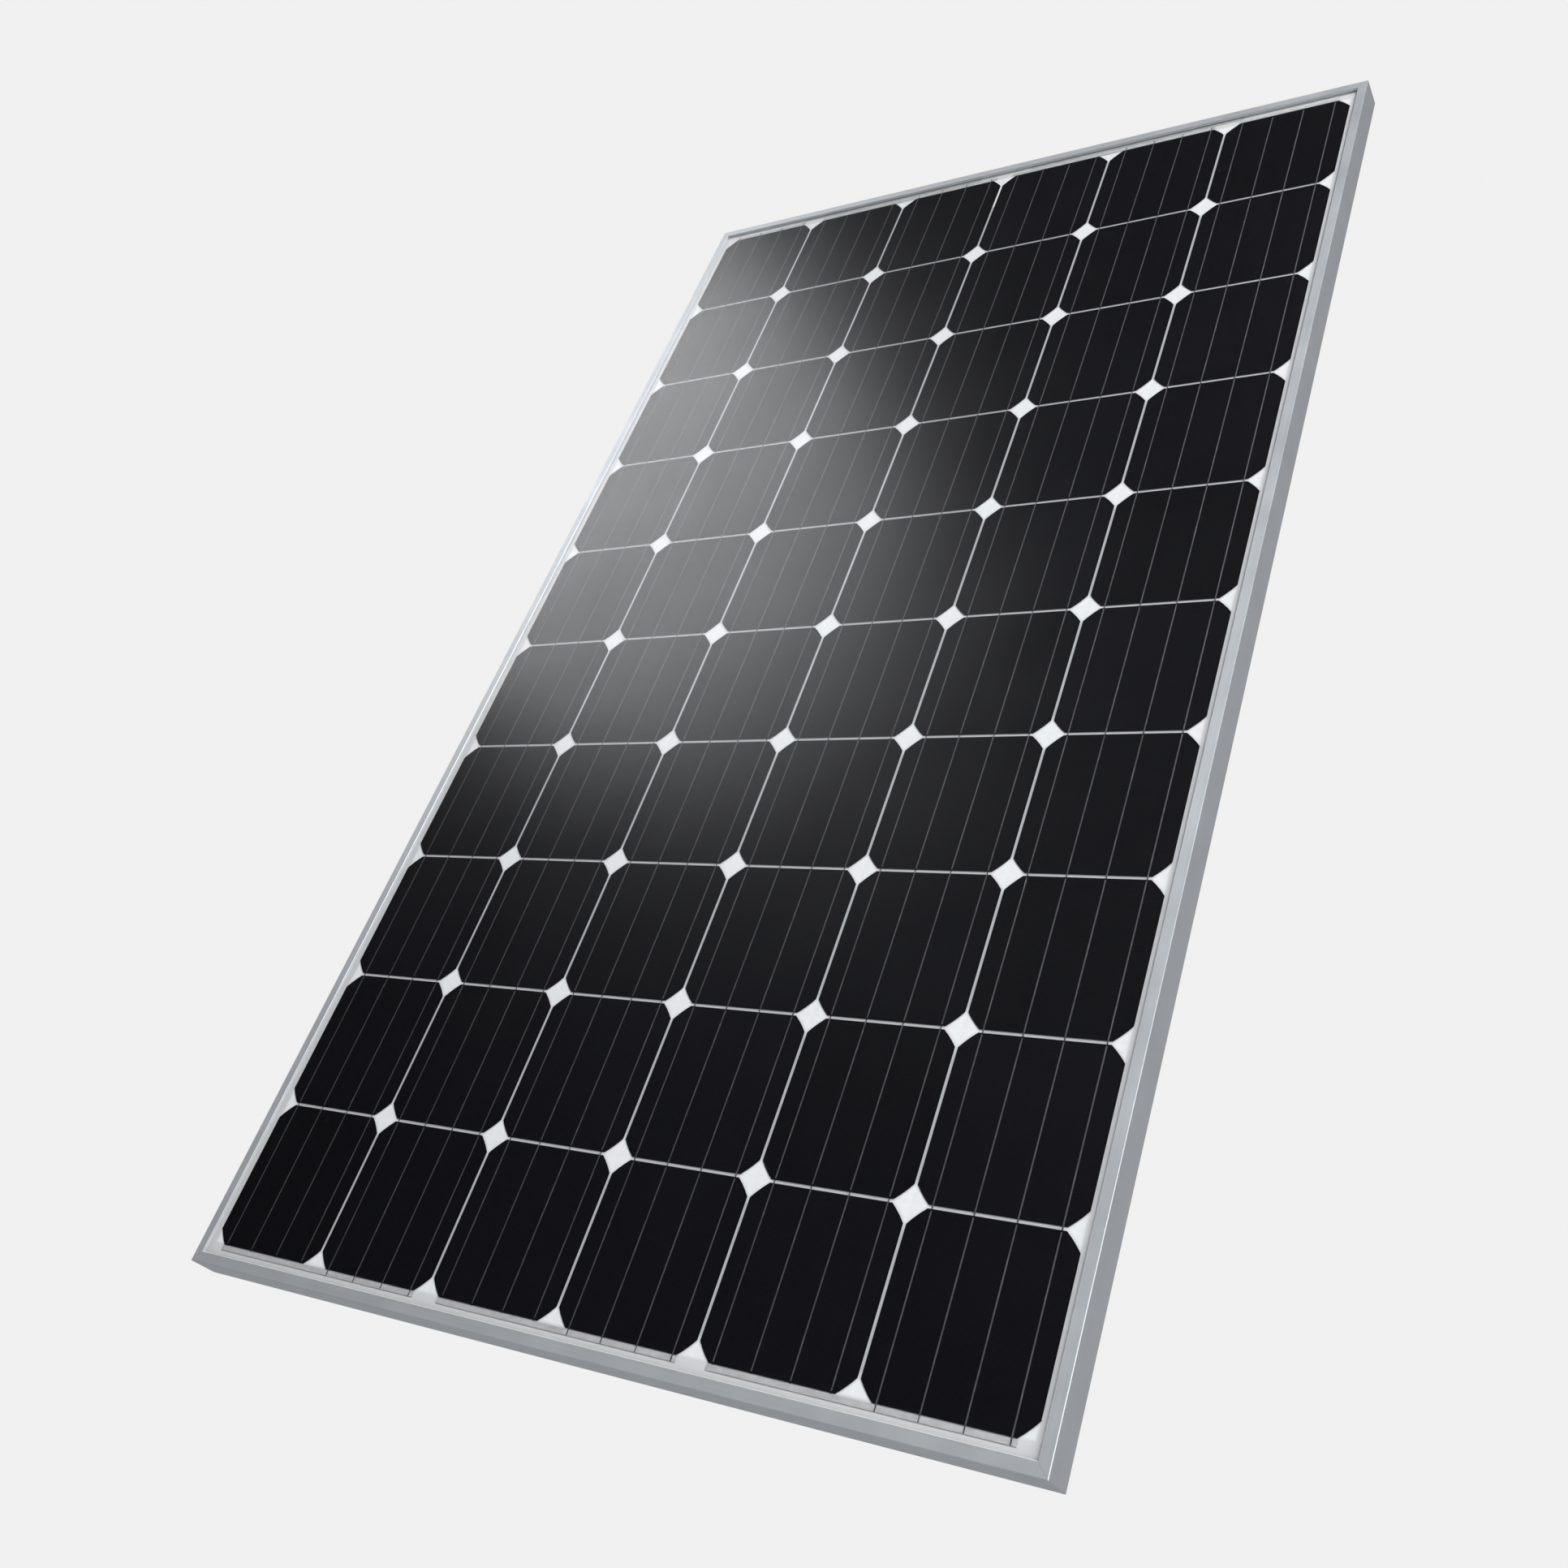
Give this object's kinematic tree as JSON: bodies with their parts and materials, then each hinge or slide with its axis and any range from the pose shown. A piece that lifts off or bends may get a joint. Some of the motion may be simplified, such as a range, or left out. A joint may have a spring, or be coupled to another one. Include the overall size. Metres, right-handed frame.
{
  "type": "solar panel",
  "caption": "Framed photovoltaic panel: pseudo-square cells under glass in a silver aluminium frame, with a lidded junction box on the back.",
  "frame": {"origin": "centre of the panel's bounding box, which is the frame's", "axes": "+Z along the long side, towards the junction box; -Y out of the glass; +Y out of the back"},
  "size_m": [0.986, 0.035, 1.634],
  "materials": {
    "clear_glass": "tempered, lightly textured",
    "encapsulant": "clear, cured",
    "silicon_cell": "dark blue-black, anti-reflection coated",
    "tinned_copper": "tinned, dull",
    "white_backsheet": "matt white film",
    "anodised_aluminium": "silver, fine satin, anodised",
    "mill_aluminium": "plain extruded",
    "silicone": "translucent grey, cured",
    "label_film": "blank silver film",
    "black_plastic": "fine moulded grain",
    "black_rubber": "matt",
    "spring_steel": "bright",
    "diode_epoxy": "smooth moulded"
  },
  "bodies": {
    "panel": {"front_glass": "clear_glass", "front_encapsulant": "encapsulant", "cell_string_1": "silicon_cell", "cell_string_2": "silicon_cell", "cell_string_3": "silicon_cell", "cell_string_4": "silicon_cell", "cell_string_5": "silicon_cell", "cell_string_6": "silicon_cell", "tabbing_ribbons_1": "tinned_copper", "tabbing_ribbons_2": "tinned_copper", "tabbing_ribbons_3": "tinned_copper", "tabbing_ribbons_4": "tinned_copper", "tabbing_ribbons_5": "tinned_copper", "tabbing_ribbons_6": "tinned_copper", "bus_ribbon_1_2": "tinned_copper", "bus_ribbon_3_4": "tinned_copper", "bus_ribbon_5_6": "tinned_copper", "bus_ribbon_2_3": "tinned_copper", "bus_ribbon_4_5": "tinned_copper", "bus_lead_1": "tinned_copper", "bus_lead_6": "tinned_copper", "insulation_strip": "white_backsheet", "rear_encapsulant": "encapsulant", "backsheet": "white_backsheet", "frame_rail_left": "anodised_aluminium", "frame_rail_right": "anodised_aluminium", "frame_rail_top": "anodised_aluminium", "frame_rail_bottom": "anodised_aluminium", "corner_key_top_left": "mill_aluminium", "corner_key_top_right": "mill_aluminium", "corner_key_bottom_left": "mill_aluminium", "corner_key_bottom_right": "mill_aluminium", "frame_sealant": "silicone", "rating_label": "label_film", "box_adhesive": "silicone", "junction_box_base": "black_plastic", "lid_hinge_pins": "spring_steel", "terminal_1": "tinned_copper", "terminal_2": "tinned_copper", "terminal_3": "tinned_copper", "terminal_4": "tinned_copper", "ribbon_clips": "spring_steel", "bypass_diode_1": "diode_epoxy", "bypass_diode_2": "diode_epoxy", "bypass_diode_3": "diode_epoxy", "vent_plug": "black_plastic", "gland_seal_left": "black_rubber", "gland_seal_right": "black_rubber"},
    "lid": {"junction_box_lid": "black_plastic", "lid_gasket": "black_rubber"},
    "clamp_ring_left": {"gland_clamp_ring_left": "black_plastic"},
    "nut_left": {"gland_nut_left": "black_plastic"},
    "clamp_ring_right": {"gland_clamp_ring_right": "black_plastic"},
    "nut_right": {"gland_nut_right": "black_plastic"}
  },
  "joints": [
    {"name": "lid_hinge", "type": "hinge", "parent": "panel", "child": "lid", "pos_m": [0, 0.009, 0.7559], "axis": [1, 0, 0], "range_deg": [0, 110]},
    {"name": "clamp_ring_left_slide", "type": "slide", "parent": "panel", "child": "clamp_ring_left", "axis": [0, 0, -1], "range_m": [0, 0.003]},
    {"name": "nut_left_turn", "type": "hinge", "parent": "clamp_ring_left", "child": "nut_left", "pos_m": [-0.042, 0.0005, 0.645], "axis": [0, 0, -1], "range_deg": [0, 720]},
    {"name": "clamp_ring_right_slide", "type": "slide", "parent": "panel", "child": "clamp_ring_right", "axis": [0, 0, -1], "range_m": [0, 0.003]},
    {"name": "nut_right_turn", "type": "hinge", "parent": "clamp_ring_right", "child": "nut_right", "pos_m": [0.042, 0.0005, 0.645], "axis": [0, 0, -1], "range_deg": [0, 720]}
  ],
  "couplings": [
    {"joint": "nut_left_turn", "follows": "clamp_ring_left_slide", "rad_per_m": 4188.7},
    {"joint": "nut_right_turn", "follows": "clamp_ring_right_slide", "rad_per_m": 4188.7}
  ]
}
